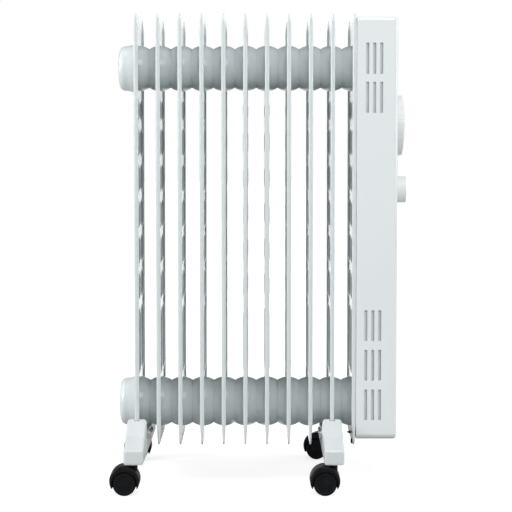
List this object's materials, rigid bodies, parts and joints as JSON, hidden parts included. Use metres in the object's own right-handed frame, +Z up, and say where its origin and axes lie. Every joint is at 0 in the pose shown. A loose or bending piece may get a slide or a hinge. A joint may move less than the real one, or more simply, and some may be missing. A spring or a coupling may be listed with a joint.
{
  "type": "oil filled radiator heater",
  "caption": "Oil filled radiator heater: a row of white pressed fins on two headers, louvred control box with a dial and a knob on its end, two feet with twin-wheel casters.",
  "frame": {"origin": "on the floor, under the middle of the fins' depth and of the overall width", "axes": "+X along the row of fins towards the control box, -Y the front, +Z up"},
  "size_m": [0.3986, 0.247, 0.634],
  "materials": {
    "fin_paint": "gloss white powder coat",
    "box_paint": "gloss white powder coat",
    "foot_paint": "gloss white powder coat",
    "plated_steel": "zinc plated",
    "brass": "machined",
    "knob_plastic": "glossy moulded ABS",
    "switch_plastic": "moulded thermoset",
    "lamp_lens": "translucent lens",
    "black_fixings": "blackened",
    "lead_sleeve": "silicone sleeve",
    "gland_rubber": "moulded",
    "caster_nylon": "satin black nylon",
    "wheel_nylon": "black nylon"
  },
  "bodies": {
    "radiator": {"fin_01": "fin_paint", "fin_02": "fin_paint", "fin_03": "fin_paint", "fin_04": "fin_paint", "fin_05": "fin_paint", "fin_06": "fin_paint", "fin_07": "fin_paint", "fin_08": "fin_paint", "fin_09": "fin_paint", "fin_10": "fin_paint", "fin_11": "fin_paint", "end_cap_top": "fin_paint", "end_cap_bottom": "fin_paint", "heating_element": "plated_steel", "element_flange": "brass", "filler_plug": "plated_steel", "foot_left": "foot_paint", "foot_right": "foot_paint", "foot_screws": "plated_steel", "caster_fl_stem": "plated_steel", "caster_fr_stem": "plated_steel", "caster_rl_stem": "plated_steel", "caster_rr_stem": "plated_steel", "box_cover": "box_paint", "back_plate": "plated_steel", "heat_shield": "plated_steel", "box_fixings": "black_fixings", "thermostat_body": "switch_plastic", "selector_switch": "switch_plastic", "indicator_lamp": "lamp_lens", "terminal_block": "switch_plastic", "thermal_cutout": "black_fixings", "tilt_switch": "switch_plastic", "wiring": "lead_sleeve", "cord_gland": "gland_rubber"},
    "thermostat_control": {"thermostat_spindle": "brass", "thermostat_dial": "knob_plastic"},
    "selector_control": {"selector_spindle": "brass", "selector_knob": "knob_plastic"},
    "tilt_pendulum": {"tilt_weight": "plated_steel"},
    "caster_fl_swivel": {"caster_fl_hood": "caster_nylon", "caster_fl_axle": "plated_steel"},
    "caster_fl_front_wheel": {"caster_fl_wheel_front": "wheel_nylon"},
    "caster_fl_rear_wheel": {"caster_fl_wheel_rear": "wheel_nylon"},
    "caster_fr_swivel": {"caster_fr_hood": "caster_nylon", "caster_fr_axle": "plated_steel"},
    "caster_fr_front_wheel": {"caster_fr_wheel_front": "wheel_nylon"},
    "caster_fr_rear_wheel": {"caster_fr_wheel_rear": "wheel_nylon"},
    "caster_rl_swivel": {"caster_rl_hood": "caster_nylon", "caster_rl_axle": "plated_steel"},
    "caster_rl_front_wheel": {"caster_rl_wheel_front": "wheel_nylon"},
    "caster_rl_rear_wheel": {"caster_rl_wheel_rear": "wheel_nylon"},
    "caster_rr_swivel": {"caster_rr_hood": "caster_nylon", "caster_rr_axle": "plated_steel"},
    "caster_rr_front_wheel": {"caster_rr_wheel_front": "wheel_nylon"},
    "caster_rr_rear_wheel": {"caster_rr_wheel_rear": "wheel_nylon"}
  },
  "joints": [
    {"name": "caster_fl_turn", "type": "hinge", "parent": "radiator", "child": "caster_fl_swivel", "pos_m": [-0.16742, -0.1035, 0.039], "axis": [0, 0, 1], "continuous": true},
    {"name": "caster_fl_front_roll", "type": "hinge", "parent": "caster_fl_swivel", "child": "caster_fl_front_wheel", "pos_m": [-0.17943, -0.1035, 0.01535], "axis": [0, 1, 0], "continuous": true},
    {"name": "caster_fl_rear_roll", "type": "hinge", "parent": "caster_fl_swivel", "child": "caster_fl_rear_wheel", "pos_m": [-0.17943, -0.1035, 0.01535], "axis": [0, 1, 0], "continuous": true},
    {"name": "caster_fr_turn", "type": "hinge", "parent": "radiator", "child": "caster_fr_swivel", "pos_m": [0.09574, -0.1035, 0.039], "axis": [0, 0, 1], "continuous": true},
    {"name": "caster_fr_front_roll", "type": "hinge", "parent": "caster_fr_swivel", "child": "caster_fr_front_wheel", "pos_m": [0.08374, -0.1035, 0.01535], "axis": [0, 1, 0], "continuous": true},
    {"name": "caster_fr_rear_roll", "type": "hinge", "parent": "caster_fr_swivel", "child": "caster_fr_rear_wheel", "pos_m": [0.08374, -0.1035, 0.01535], "axis": [0, 1, 0], "continuous": true},
    {"name": "caster_rl_turn", "type": "hinge", "parent": "radiator", "child": "caster_rl_swivel", "pos_m": [-0.16742, 0.1035, 0.039], "axis": [0, 0, 1], "continuous": true},
    {"name": "caster_rl_front_roll", "type": "hinge", "parent": "caster_rl_swivel", "child": "caster_rl_front_wheel", "pos_m": [-0.17943, 0.1035, 0.01535], "axis": [0, 1, 0], "continuous": true},
    {"name": "caster_rl_rear_roll", "type": "hinge", "parent": "caster_rl_swivel", "child": "caster_rl_rear_wheel", "pos_m": [-0.17943, 0.1035, 0.01535], "axis": [0, 1, 0], "continuous": true},
    {"name": "caster_rr_turn", "type": "hinge", "parent": "radiator", "child": "caster_rr_swivel", "pos_m": [0.09574, 0.1035, 0.039], "axis": [0, 0, 1], "continuous": true},
    {"name": "caster_rr_front_roll", "type": "hinge", "parent": "caster_rr_swivel", "child": "caster_rr_front_wheel", "pos_m": [0.08504, 0.10895, 0.01535], "axis": [0.454, 0.891, 0], "continuous": true},
    {"name": "caster_rr_rear_roll", "type": "hinge", "parent": "caster_rr_swivel", "child": "caster_rr_rear_wheel", "pos_m": [0.08504, 0.10895, 0.01535], "axis": [0.454, 0.891, 0], "continuous": true},
    {"name": "thermostat_turn", "type": "hinge", "parent": "radiator", "child": "thermostat_control", "pos_m": [0.18277, 0, 0.4857], "axis": [1, 0, 0], "range_deg": [0, 270]},
    {"name": "selector_turn", "type": "hinge", "parent": "radiator", "child": "selector_control", "pos_m": [0.18277, 0, 0.3977], "axis": [1, 0, 0], "range_deg": [0, 135]},
    {"name": "tilt_swing", "type": "hinge", "parent": "radiator", "child": "tilt_pendulum", "pos_m": [0.15288, 0, 0.3], "axis": [0, 1, 0], "range_deg": [-18, 18]}
  ]
}
